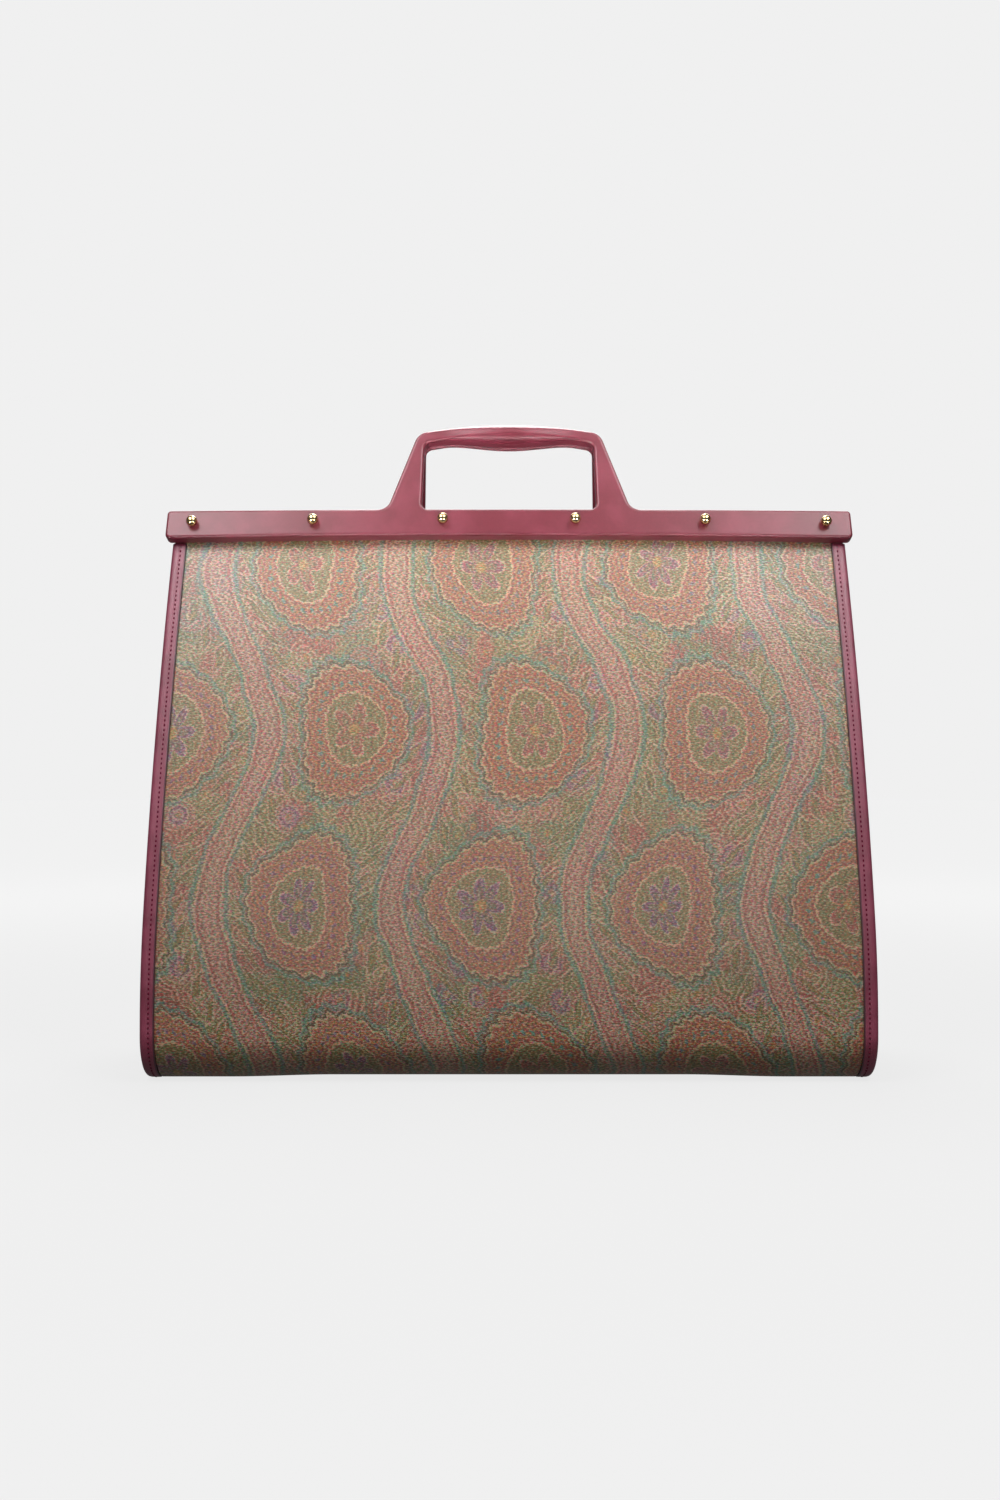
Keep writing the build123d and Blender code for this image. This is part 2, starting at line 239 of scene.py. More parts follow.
class Field:
    """A number that varies over a surface: a socket of a node tree, with arithmetic that adds nodes."""

    def __init__(self, tree, socket):
        self.tree = tree
        self.socket = socket

    def math(self, operation, *others):
        """Field of an operation on this field and others, which may be constants."""
        node = self.tree.nodes.new("ShaderNodeMath")
        node.operation = operation
        for socket, value in zip(node.inputs, (self, *others)):
            feed(self.tree, socket, value)
        return Field(self.tree, node.outputs[0])

    def __add__(self, other):
        return self.math("ADD", other)

    def __sub__(self, other):
        return self.math("SUBTRACT", other)

    def __mul__(self, other):
        return self.math("MULTIPLY", other)

    def __truediv__(self, other):
        return self.math("DIVIDE", other)

    def __neg__(self):
        return self.math("MULTIPLY", -1)

    def __abs__(self):
        return self.math("ABSOLUTE")

    def between(self, low, high):
        """Low where the field is 0, high where it is 1."""
        return self * (high - low) + low

    def repeat(self, period):
        """Number of the repeat whose middle is nearest."""
        return (self / period + 0.5).math("FLOOR")

    def fold(self, period):
        """Place within one repeat, from minus to plus half a period."""
        return (self / period + 0.5).math("FRACT") * period - period / 2

    def step(self, low, high):
        """Smooth step from 0 at low to 1 at high, which may be the lower value."""
        node = self.tree.nodes.new("ShaderNodeMapRange")
        node.interpolation_type = "SMOOTHSTEP"
        node.inputs["From Min"].default_value = min(low, high)
        node.inputs["From Max"].default_value = max(low, high)
        node.inputs["To Min"].default_value = 0 if low < high else 1
        node.inputs["To Max"].default_value = 1 if low < high else 0
        self.tree.links.new(self.socket, node.inputs["Value"])
        return Field(self.tree, node.outputs["Result"])

    def line(self, place, half, soft):
        """1 on a line of the field's value, 0 beyond its half width and soft edge."""
        return abs(self - place).step(half + soft, half)

    def hairline(self, place):
        """The thinnest line, at a place."""
        return self.line(place, HAIRLINE, LINE_SOFT)

    def hairlines(self, period):
        """Thinnest lines, one for each period."""
        return abs(self.fold(period)).step(HAIRLINE + LINE_SOFT, HAIRLINE)


def feed(tree, socket, value):
    """Link a field to a socket, or set a constant there."""
    if isinstance(value, Field):
        tree.links.new(value.socket, socket)
    else:
        socket.default_value = value


class Shader:
    """A material's node tree, with the few nodes that the materials here use, and its colour so far."""

    def __init__(self, name, colour=None):
        self.material = bpy.data.materials.new(name)
        self.material.use_nodes = True
        self.tree = self.material.node_tree
        self.surface = self.tree.nodes["Principled BSDF"]
        self.colour = colour

    def set(self, **values):
        """Set constant values on the surface's own sockets, underscores for spaces."""
        for name, value in values.items():
            self.surface.inputs[name.replace("_", " ")].default_value = value

    def link(self, socket, name):
        """Link a field or a socket to one of the surface's sockets."""
        self.tree.links.new(getattr(socket, "socket", socket), self.surface.inputs[name])

    def finish(self, **values):
        """Link the colour, set constant values, and give the material."""
        self.link(self.colour, "Base Color")
        self.set(**values)
        return self.material

    def vector_math(self, operation, vector):
        """Node of an operation on a vector."""
        node = self.tree.nodes.new("ShaderNodeVectorMath")
        node.operation = operation
        self.tree.links.new(vector, node.inputs[0])
        return node

    def split(self, vector):
        """Fields of a vector's three values."""
        node = self.tree.nodes.new("ShaderNodeSeparateXYZ")
        self.tree.links.new(vector, node.inputs[0])
        return [Field(self.tree, output) for output in node.outputs]

    def join(self, *values):
        """Vector socket of three fields or constants."""
        node = self.tree.nodes.new("ShaderNodeCombineXYZ")
        for socket, value in zip(node.inputs, values):
            feed(self.tree, socket, value)
        return node.outputs[0]

    def flat_place(self):
        """Fields of the place on the flat cloth or leather, across and along, in millimetres."""
        attribute = self.tree.nodes.new("ShaderNodeAttribute")
        attribute.attribute_name = "flat_mm"
        return self.split(attribute.outputs["Vector"])[:2]

    def solid_place(self):
        """Vector socket of the place in the piece's own frame, in millimetres."""
        coordinate = self.tree.nodes.new("ShaderNodeTexCoord")
        scale = self.vector_math("SCALE", coordinate.outputs["Object"])
        scale.inputs["Scale"].default_value = 1 / MM
        return scale.outputs[0]

    def noise_node(self, vector, size, detail, dimensions):
        """Noise with features of a size in the vector's own units."""
        node = self.tree.nodes.new("ShaderNodeTexNoise")
        node.noise_dimensions = dimensions
        node.inputs["Scale"].default_value = 1 / size
        node.inputs["Detail"].default_value = detail
        self.tree.links.new(vector, node.inputs["Vector"])
        return node

    def noise(self, vector, size, detail=2.0, dimensions="3D"):
        """Field of noise around its middle value."""
        return Field(self.tree, self.noise_node(vector, size, detail, dimensions).outputs["Fac"])

    def noise_colour(self, vector, size, detail=2.0, dimensions="3D"):
        """Three noises in one colour socket."""
        return self.noise_node(vector, size, detail, dimensions).outputs["Color"]

    def cell_node(self, vector, size, feature, dimensions):
        """Cells of a size in the vector's own units."""
        node = self.tree.nodes.new("ShaderNodeTexVoronoi")
        node.voronoi_dimensions = dimensions
        node.feature = feature
        node.inputs["Scale"].default_value = 1 / size
        self.tree.links.new(vector, node.inputs["Vector"])
        return node

    def cells(self, vector, size, dimensions="3D"):
        """Distance from each cell's middle, in cell sizes, and the cells' chance colours."""
        node = self.cell_node(vector, size, "F1", dimensions)
        return Field(self.tree, node.outputs["Distance"]), node.outputs["Color"]

    def cell_edges(self, vector, size, dimensions="3D"):
        """Distance from the cells' edges, in cell sizes."""
        node = self.cell_node(vector, size, "DISTANCE_TO_EDGE", dimensions)
        return Field(self.tree, node.outputs["Distance"])

    def over(self, below, above, mask):
        """Colour above laid over the colour below where the mask says."""
        node = self.tree.nodes.new("ShaderNodeMix")
        node.data_type = "RGBA"
        self.tree.links.new(mask.socket, node.inputs["Factor"])
        for name, value in (("A", below), ("B", above)):
            socket = [one for one in node.inputs if one.name == name and one.type == "RGBA"][0]
            if isinstance(value, tuple):
                socket.default_value = value
            else:
                self.tree.links.new(value, socket)
        return [one for one in node.outputs if one.type == "RGBA"][0]

    def lay(self, colour, mask):
        """Lay a colour over the surface's colour where the mask says."""
        self.colour = self.over(self.colour, colour, mask)

    def shade(self, factor):
        """Multiply the surface's colour by a field."""
        node = self.vector_math("SCALE", self.colour)
        self.tree.links.new(factor.socket, node.inputs["Scale"])
        self.colour = node.outputs[0]

    def tint(self, noises, amount):
        """Multiply the surface's colour by three noises, by an amount."""
        spread = self.vector_math("MULTIPLY_ADD", noises)
        spread.inputs[1].default_value = (amount,) * 3
        spread.inputs[2].default_value = (1 - amount * NOISE_MIDDLE,) * 3
        node = self.vector_math("MULTIPLY", self.colour)
        self.tree.links.new(spread.outputs[0], node.inputs[1])
        self.colour = node.outputs[0]

    def bump(self, height, depth, strength):
        """Link a bump from a field from 0 to 1, its depth in millimetres."""
        node = self.tree.nodes.new("ShaderNodeBump")
        node.inputs["Strength"].default_value = strength
        node.inputs["Distance"].default_value = depth * MM
        self.tree.links.new(height.socket, node.inputs["Height"])
        self.link(node.outputs[0], "Normal")


# Inks of the print, and their strengths
OLIVE = srgb(97, 87, 43)
KHAKI = srgb(110, 95, 57)
BRICK = srgb(122, 60, 45)
ROSE = srgb(127, 85, 71)
TEAL = srgb(58, 104, 90)
PLUM = srgb(98, 60, 84)
MUSTARD = srgb(136, 102, 42)
CREAM = srgb(176, 149, 118)
MIST = srgb(112, 122, 130)
SHADE = srgb(54, 42, 30)
FAINT = 0.4
SOFT = 0.48
CLEAR = 0.65
STRONG = 0.88

# Sizes of the print are millimetres on the flat cloth
COLUMN_WIDTH = 97.0
WAVE_LENGTH = 188.0
WAVE_REACH = 15.0
SWING = 42.0  # size of the slow swing of the print's lines
SWING_REACH = 9.0

# Ground
KHAKI_PATCH = (0.42, 0.6)
CLOUD_SIZE = 21.0
BRICK_CLOUD = (0.43, 0.61)
ROSETTE_SIZE = 19.0
ROSETTE_RING = 2.9
ROSETTE_EYE = (2.2, 1.4)
ROSE_DISC = (9.5, 8.0)
PLUM_DISC = (6.5, 5.0)
ROSE_CHANCE = (0.55, 0.65)
PLUM_CHANCE = (0.7, 0.78)
CREAM_CHANCE = (0.2, 0.6)
TEAL_CHANCE = (0.3, 0.15)


def print_ground(shader, flat, place, patch):
    """Olive ground with clouds of rust, covered with rosettes of thin rings."""
    cloud = shader.noise(flat, CLOUD_SIZE, detail=3, dimensions="2D")
    shader.lay(KHAKI, patch.step(*KHAKI_PATCH))
    shader.lay(BRICK, cloud.step(*BRICK_CLOUD) * STRONG)
    away, chances = shader.cells(place, ROSETTE_SIZE, "2D")
    reach = away * ROSETTE_SIZE
    rose_chance, plum_chance, ring_chance = shader.split(chances)
    shader.lay(ROSE, rose_chance.step(*ROSE_CHANCE) * reach.step(*ROSE_DISC) * CLEAR)
    shader.lay(PLUM, plum_chance.step(*PLUM_CHANCE) * reach.step(*PLUM_DISC) * CLEAR)
    rings = reach.hairlines(ROSETTE_RING)
    shader.lay(CREAM, rings * ring_chance.step(*CREAM_CHANCE) * FAINT)
    shader.lay(TEAL, rings * ring_chance.step(*TEAL_CHANCE) * FAINT)
    shader.lay(MUSTARD, reach.step(*ROSETTE_EYE) * CLEAR)


# Leaves, their edges measured out from the outline
LEAF_PITCH = 13.5
LEAF_AWAY = 17.0  # from the stripe's middle
LEAF_HALF = 4.6
LEAF_SLANT = 1.3
LEAF_TAPER = 0.6
LEAF_SHADOW = (0.5, -0.4)
LEAF_FILL = (-1.2, -2.2)
LEAF_RIB = (0.6, 0.2)
LEAF_RIB_END = (-1.0, -1.6)


def print_leaves(shader, stripe, y):
    """Leaves in a slanting row along both sides of each stripe."""
    rib = abs((y + stripe * LEAF_SLANT).fold(LEAF_PITCH))
    leaf = rib + abs(stripe - LEAF_AWAY) * LEAF_TAPER - LEAF_HALF
    shader.lay(SHADE, leaf.step(*LEAF_SHADOW) * FAINT)
    shader.lay(OLIVE, leaf.step(*LEAF_FILL) * STRONG)
    shader.lay(CREAM, leaf.hairline(0) * SOFT)
    shader.lay(MUSTARD, rib.step(*LEAF_RIB) * leaf.step(*LEAF_RIB_END) * CLEAR)


# Medallions: their rim's edges and lines are measured out from the radius
MEDALLION_RADIUS = 26.0
MEDALLION_STRETCH = 1.34
SCALLOPS = 22.0
SCALLOP_REACH = 0.9
SCALLOP_START = 8.0  # from the middle
RIM_HALO = (4.8, 0.5, 0.9)
RIM = (3.8, 3.0)
RIM_LINE = 2.6
LACE = (1.4, 0.6)
LACE_LINE = 1.4
LACE_RING = 2.7

# Their core's edges and lines are measured out from its radius
CORE_RADIUS = 15.5
CORE = (0.8, -0.4)
CORE_LINE = 0.6
BEADS = 26.0
BEAD = (0.0, 0.6)
BEAD_RING = (5.0, 0.8, LINE_SOFT)

# Their flower's edges and lines are measured out from the petals' outline
FEWEST_PETALS = 5.0
FLOWER_KINDS = 4.0
PETAL_START = 4.0
PETAL_LENGTH = 7.5
PETAL = (0.9, 0.0)
PETAL_LINE = 0.4
PETAL_HEART = (-2.8, -3.6)
FLOWER_EYE = (3.0, 2.2)  # from the middle

# Factors that scatter the medallions' columns and rows into chances
COLUMN_SCATTER = 3.7
ROW_SCATTER = 5.3
CHANCE_SCATTER = 91.7
ODD_CHANCE = (0.3, 0.7)


def print_medallions(shader, lane, column_x, y):
    """Medallions at the turns of the wave: a scalloped rim, thin rings and a flower, no two alike nearby."""
    upright = y - WAVE_LENGTH / 4
    row_height = WAVE_LENGTH / 2
    rise = upright.fold(row_height) / MEDALLION_STRETCH
    reach = (column_x * column_x + rise * rise).math("SQRT")
    turn = rise.math("ARCTAN2", column_x)
    number = lane.repeat(COLUMN_WIDTH) * COLUMN_SCATTER + upright.repeat(row_height) * ROW_SCATTER
    chance = (number.math("SINE") * CHANCE_SCATTER).math("FRACT")
    odd = chance.step(*ODD_CHANCE)
    scallop = (turn * SCALLOPS).math("SINE") * SCALLOP_REACH
    ring = reach + scallop * reach.step(SCALLOP_START, MEDALLION_RADIUS)

    rim = ring - MEDALLION_RADIUS
    lace = rim.step(*LACE)
    shader.lay(TEAL, rim.line(*RIM_HALO) * CLEAR)
    shader.lay(OLIVE, rim.step(*RIM) * CLEAR)
    shader.lay(SHADE, rim.hairline(RIM_LINE) * CLEAR)
    shader.lay(shader.over(BRICK, ROSE, odd * FAINT), lace * STRONG)
    shader.lay(CREAM, rim.hairline(LACE_LINE) * SOFT)
    shader.lay(MUSTARD, ring.hairlines(LACE_RING) * lace * CLEAR)

    core = ring - CORE_RADIUS
    beads = (turn * BEADS).math("SINE").step(*BEAD) * core.line(*BEAD_RING)
    shader.lay(shader.over(TEAL, PLUM, odd), beads * STRONG)
    shader.lay(shader.over(OLIVE, KHAKI, odd * FAINT), core.step(*CORE) * STRONG)
    shader.lay(CREAM, core.hairline(CORE_LINE) * SOFT)

    petal_count = (chance * FLOWER_KINDS).math("FLOOR") + FEWEST_PETALS
    swell = abs((turn * petal_count / 2).math("COSINE"))
    petals = reach - swell * PETAL_LENGTH - PETAL_START
    shader.lay(shader.over(BRICK, PLUM, odd), petals.step(*PETAL) * STRONG)
    shader.lay(CREAM, petals.hairline(PETAL_LINE) * SOFT)
    shader.lay(OLIVE, petals.step(*PETAL_HEART) * CLEAR)
    shader.lay(MUSTARD, reach.step(*FLOWER_EYE) * STRONG)


# Stripes, their edges and lines measured out from the half width
STRIPE_HALF = 6.0
STRIPE = (0.6, -0.4)
STRIPE_HALO = (2.6, 0.6, 1.0)
STRIPE_LINE = 0.4
STRIPE_BORDER = (-1.2, 0.5, LINE_SOFT)
STRIPE_INSIDE = (-1.4, -2.2)
MESH_SIZE = 3.4
MESH_LINE = (0.16, 0.06)  # in mesh sizes


def print_stripes(shader, stripe, place):
    """Rust stripes with a fine light mesh between thin lines, and teal beside them."""
    edge = stripe - STRIPE_HALF
    mesh = shader.cell_edges(place, MESH_SIZE, "2D").step(*MESH_LINE)
    shader.lay(TEAL, edge.line(*STRIPE_HALO) * CLEAR)
    shader.lay(ROSE, edge.step(*STRIPE) * CLEAR)
    shader.lay(CREAM, mesh * edge.step(*STRIPE_INSIDE) * FAINT)
    shader.lay(BRICK, edge.line(*STRIPE_BORDER) * CLEAR)
    shader.lay(CREAM, edge.hairline(STRIPE_LINE) * SOFT)


# Pebbled coating of the canvas, with grains that are longer across the cloth
GRAIN = 0.8
GRAIN_STRETCH = 2.0
RAGGED_REACH = 2.6  # of the print's edges
GRAIN_TINT = 2.6
MIST_FLECK = (0.58, 0.72)
MIST_STRENGTH = 0.42
CREAM_FLECK = (0.58, 0.74)
CREAM_STRENGTH = 0.56
SHADE_FLECK = (0.42, 0.28)
SHADE_STRENGTH = 0.7
GRAIN_DEPTH = 0.2
GRAIN_STRENGTH = 0.7
COATING_ROUGHNESS = (0.63, 0.23)  # between the grains and on them
COATING_SPECULAR = 0.9


def canvas_material():
    """Coated canvas, printed with wavy stripes, leaves, medallions and a ground of ringed rosettes."""
    shader = Shader("printed_canvas", OLIVE)
    across, along = shader.flat_place()
    flat = shader.join(across, along, 0)

    # The grains make the print's edges ragged, and its lines swing a little
    squeezed = shader.join(across / GRAIN_STRETCH, along, 0)
    grains = shader.noise_colour(squeezed, GRAIN, detail=1, dimensions="2D")
    grain, ragged, fleck = shader.split(grains)
    swing_x, swing_y, patch = shader.split(shader.noise_colour(flat, SWING, dimensions="2D"))
    x = across + (swing_x - NOISE_MIDDLE) * SWING_REACH + (ragged - NOISE_MIDDLE) * RAGGED_REACH
    y = along + (swing_y - NOISE_MIDDLE) * SWING_REACH
    place = shader.join(x, y, 0)
    lane = x - (y * (2 * pi / WAVE_LENGTH)).math("SINE") * WAVE_REACH
    column_x = lane.fold(COLUMN_WIDTH)
    stripe = -abs(column_x) + COLUMN_WIDTH / 2
    print_ground(shader, flat, place, patch)
    print_leaves(shader, stripe, y)
    print_medallions(shader, lane, column_x, y)
    print_stripes(shader, stripe, place)

    # Each grain is a little off in colour, with pale and dark flecks
    shader.tint(grains, GRAIN_TINT)
    shader.lay(MIST, ragged.step(*MIST_FLECK) * MIST_STRENGTH)
    shader.lay(CREAM, fleck.step(*CREAM_FLECK) * CREAM_STRENGTH)
    shader.lay(SHADE, fleck.step(*SHADE_FLECK) * SHADE_STRENGTH)
    shader.bump(grain, GRAIN_DEPTH, GRAIN_STRENGTH)
    shader.link(grain.between(*COATING_ROUGHNESS), "Roughness")
    return shader.finish(Specular_IOR_Level=COATING_SPECULAR)


# Cotton backing
BACKING_DARK = srgb(122, 98, 72)
BACKING_LIGHT = srgb(150, 124, 94)
BACKING_CLOUD = 9.0
BACKING_MOTTLE = (0.3, 0.7)
WEAVE_PITCH = 0.9
WEAVE_REACH = 0.25  # to both sides of the middle
# Painted shade and highlight of the weave: the colour's factor in its hollows and on its crowns
WEAVE_PAINTED_SHADE = (0.8, 1.2)
WEAVE_DEPTH = 0.2
WEAVE_STRENGTH = 0.6
BACKING_ROUGHNESS = 0.85


def backing_material():
    """Plain cotton backing on the inner side of the canvas, with painted shade in the hollows of its weave
    and painted highlights on its crowns.
    """
    shader = Shader("cotton_backing", BACKING_DARK)
    across, along = shader.flat_place()
    warp = (across * (2 * pi / WEAVE_PITCH)).math("SINE")
    weft = (along * (2 * pi / WEAVE_PITCH)).math("SINE")
    weave = warp * weft * WEAVE_REACH + NOISE_MIDDLE
    cloud = shader.noise(shader.join(across, along, 0), BACKING_CLOUD, detail=3)
    shader.lay(BACKING_LIGHT, cloud.step(*BACKING_MOTTLE))
    # Painted shade in the weave's hollows and painted highlights on its crowns, following its bump
    shader.shade(weave.between(*WEAVE_PAINTED_SHADE))
    shader.bump(weave, WEAVE_DEPTH, WEAVE_STRENGTH)
    return shader.finish(Roughness=BACKING_ROUGHNESS)


# Stitches of the bindings
STITCH_PITCH = 2.6
STITCH_LENGTH = 1.45
STITCH_RADIUS = 0.52
STITCH_INSET = 5.0  # from the binding's outer edge

# Leather
LEATHER_DARK = srgb(102, 28, 50)
LEATHER_LIGHT = srgb(122, 42, 66)
LEATHER_CLOUD = 14.0
LEATHER_MOTTLE = (0.3, 0.7)
PORE_SIZE = 0.55
PORE_EDGE = (0.0, 0.12)  # in pore sizes
PORE_DEPTH = 0.06
PORE_STRENGTH = 0.5
LEATHER_ROUGHNESS = (0.32, 0.52)
LEATHER_SPECULAR = 1.0
# Painted shade of the stitch holes: dark dots where the holes would lie in shadow
HOLE_PAINTED_SHADE = srgb(34, 4, 18)
HOLE = (0.6, 0.35)  # from its middle
HOLE_SHADE_STRENGTH = 0.6
CUT_COLOUR = srgb(44, 12, 24)
CUT = (BINDING_WIDTH - 1.0, BINDING_WIDTH - 0.4)  # from the binding's outer edge
CUT_STRENGTH = 0.85


def leather_material(name, stitched):
    """Smooth burgundy leather with a fine grain; stitched, it has painted shade at its stitch holes and a
    dark cut edge.
    """
    shader = Shader(name, LEATHER_DARK)
    place = shader.solid_place()
    cloud = shader.noise(place, LEATHER_CLOUD, detail=3)
    shader.lay(LEATHER_LIGHT, cloud.step(*LEATHER_MOTTLE))
    if stitched:
        across, along = shader.flat_place()
        beyond = (along + STITCH_PITCH / 2).fold(STITCH_PITCH)
        aside = across - STITCH_INSET
        hole = (beyond * beyond + aside * aside).math("SQRT")
        # Painted shade: dark dots at the stitch holes, in place of their shadow
        shader.lay(HOLE_PAINTED_SHADE, hole.step(*HOLE) * HOLE_SHADE_STRENGTH)
        shader.lay(CUT_COLOUR, across.step(*CUT) * CUT_STRENGTH)
    shader.bump(shader.cell_edges(place, PORE_SIZE).step(*PORE_EDGE), PORE_DEPTH, PORE_STRENGTH)
    shader.link(cloud.between(*LEATHER_ROUGHNESS), "Roughness")
    return shader.finish(Specular_IOR_Level=LEATHER_SPECULAR)


# Resin
RESIN_DARK = srgb(94, 31, 42)
RESIN_LIGHT = srgb(106, 39, 52)
RESIN_CLOUD = 18.0
RESIN_MOTTLE = (0.35, 0.65)
RESIN_GRAIN = 1.6
RESIN_SHADE = (0.88, 1.12)
RESIN_DEPTH = 0.03
RESIN_STRENGTH = 0.35
RESIN_ROUGHNESS = (0.26, 0.36)
ROUGH_CLOUD_SHARE = 0.6  # of the roughness; the grain has the rest
RESIN_SPECULAR = 0.5


def resin_material():
    """Burgundy moulded resin with a satin gloss, faintly mottled."""
    shader = Shader("burgundy_resin", RESIN_DARK)
    place = shader.solid_place()
    cloud = shader.noise(place, RESIN_CLOUD, detail=3)
    grain = shader.noise(place, RESIN_GRAIN, detail=3)
    shader.lay(RESIN_LIGHT, cloud.step(*RESIN_MOTTLE))
    shader.shade(grain.between(*RESIN_SHADE))
    shader.bump(grain, RESIN_DEPTH, RESIN_STRENGTH)
    rough = cloud * ROUGH_CLOUD_SHARE + grain * (1 - ROUGH_CLOUD_SHARE)
    shader.link(rough.between(*RESIN_ROUGHNESS), "Roughness")
    return shader.finish(Specular_IOR_Level=RESIN_SPECULAR)


# Brass
BRASS_BRIGHT = srgb(212, 188, 140)
BRASS_DULL = srgb(150, 122, 80)
TARNISH_SIZE = 1.6
TARNISH = (0.4, 0.7)
BRASS_ROUGHNESS = (0.14, 0.24)


def brass_material():
    """Polished brass, a little tarnished."""
    shader = Shader("polished_brass", BRASS_BRIGHT)
    tarnish = shader.noise(shader.solid_place(), TARNISH_SIZE, detail=3)
    shader.lay(BRASS_DULL, tarnish.step(*TARNISH))
    shader.link(tarnish.between(*BRASS_ROUGHNESS), "Roughness")
    return shader.finish(Metallic=1.0)


# Thread
THREAD_DARK = srgb(74, 12, 32)
THREAD_LIGHT = srgb(96, 24, 46)
TWIST_SIZE = 0.5
TWIST = (0.35, 0.7)
THREAD_ROUGHNESS = 0.9
THREAD_SPECULAR = 0.1


def thread_material():
    """Dull thread, a little darker than the leather."""
    shader = Shader("dull_thread", THREAD_DARK)
    twist = shader.noise(shader.solid_place(), TWIST_SIZE)
    shader.lay(THREAD_LIGHT, twist.step(*TWIST))
    return shader.finish(Roughness=THREAD_ROUGHNESS, Specular_IOR_Level=THREAD_SPECULAR)


# Fibre board
BOARD_DARK = srgb(112, 92, 68)
BOARD_LIGHT = srgb(146, 122, 92)
BOARD_CLOUD = 24.0
BOARD_MOTTLE = (0.35, 0.65)
FIBRE_SIZE = 1.8
FIBRE_SHADE = (0.7, 1.3)
FIBRE_DEPTH = 0.2
FIBRE_STRENGTH = 0.5
BOARD_ROUGHNESS = 0.9


def board_material():
    """Fibre board with flecks."""
    shader = Shader("fibre_board", BOARD_DARK)
    place = shader.solid_place()
    fibre = shader.noise(place, FIBRE_SIZE, detail=4)
    shader.lay(BOARD_LIGHT, shader.noise(place, BOARD_CLOUD).step(*BOARD_MOTTLE))
    shader.shade(fibre.between(*FIBRE_SHADE))
    shader.bump(fibre, FIBRE_DEPTH, FIBRE_STRENGTH)
    return shader.finish(Roughness=BOARD_ROUGHNESS)


CANVAS = canvas_material()
BACKING = backing_material()
BINDING_LEATHER = leather_material("binding_leather", stitched=True)
PLAIN_LEATHER = leather_material("burgundy_leather", stitched=False)
RESIN = resin_material()
BRASS = brass_material()
THREAD = thread_material()
BOARD = board_material()


# Canvas body

CANVAS_ROWS = 241
CANVAS_COLUMNS = 121  # without those at the leather's edges

# Slow waves of the walls, out of their plane
SLACK_REACH = 1.76  # where the noise is 1
SLACK_ACROSS = 95.0  # steps of the noise
SLACK_ALONG = 110.0
FRONT_LAYER = 3  # places in the noise
BACK_LAYER = 11
SLACK_EDGE = 60.0  # distances over which the waves set in, from the bindings, the floor and the bars
SLACK_FOOT = (WALL_FOOT - 20.0, WALL_FOOT + 50.0)
SLACK_TOP = 40.0

# Sag of the floor beside the bindings, down to the ground
SAG_REACH = 1.15
SAG_SPAN = (95.0, 150.0)  # from the middle
SAG_EDGE = 0.7
SAG_RUN = (FLOOR_HALF_DEPTH, WALL_FOOT + 15.0)


def slack(across, run):
    """How far the canvas stands out of its plane: waves on the walls, which end at the seams and the bars,
    and a sag at the two ends of the floor."""
    from_leather = half_width(wall_point(run, 0)[1]) - BINDING_WIDTH - abs(across)
    along = abs(run)
    free = blend_step(0, SLACK_EDGE, from_leather)
    free *= blend_step(*SLACK_FOOT, along) * blend_step(0, SLACK_TOP, WALL_TOP - along)
    layer = FRONT_LAYER if run > 0 else BACK_LAYER
    wave = noise.noise(Vector((across / SLACK_ACROSS, run / SLACK_ALONG, layer)))
    sagging = blend_step(0, SAG_EDGE, from_leather) * blend_step(*SAG_SPAN, abs(across))
    sagging *= 1 - blend_step(*SAG_RUN, along)
    return SLACK_REACH * free * wave + SAG_REACH * sagging


# Bake map of the canvas, in shares of its height; bands are counted in gaps down from its top
BAKE_OUTER_SHARE = 0.76  # for the printed face
BAKE_GAP = 0.006
BAKE_BACKING_TOP = 4
BAKE_SIDE_BAND = 3
BAKE_END_BAND = 1.5


def add_bake_map(piece, rows, columns):
    """Map for baking the canvas: most of it for the printed face, a band for the backing, two for the rim."""
    coordinates = piece.data.uv_layers.new(name="OFBake").data
    count = rows * columns
    backing_start = BAKE_OUTER_SHARE + BAKE_GAP
    backing_height = 1 - BAKE_BACKING_TOP * BAKE_GAP - backing_start
    for polygon in piece.data.polygons:
        spots = []
        for corner in polygon.vertices:
            row, column = divmod(corner % count, columns)
            spots.append((row / (rows - 1), column / (columns - 1), corner >= count))
        on_rim = len({inner for along, across, inner in spots}) == 2
        at_side = len({across for along, across, inner in spots}) == 1
        for loop, (along, across, inner) in zip(polygon.loop_indices, spots):
            if on_rim:
                band = 1 - (BAKE_SIDE_BAND if at_side else BAKE_END_BAND) * BAKE_GAP
                coordinates[loop].uv = (along + across) / 2, band + inner * BAKE_GAP
            elif inner:
                coordinates[loop].uv = along, backing_start + backing_height * across
            else:
                coordinates[loop].uv = along, BAKE_OUTER_SHARE * across


def cloth_reach(run):
    """From the middle to the canvas's edge, at a run along the section."""
    return half_width(wall_point(run, 0)[1]) - CLOTH_EDGE_INSET


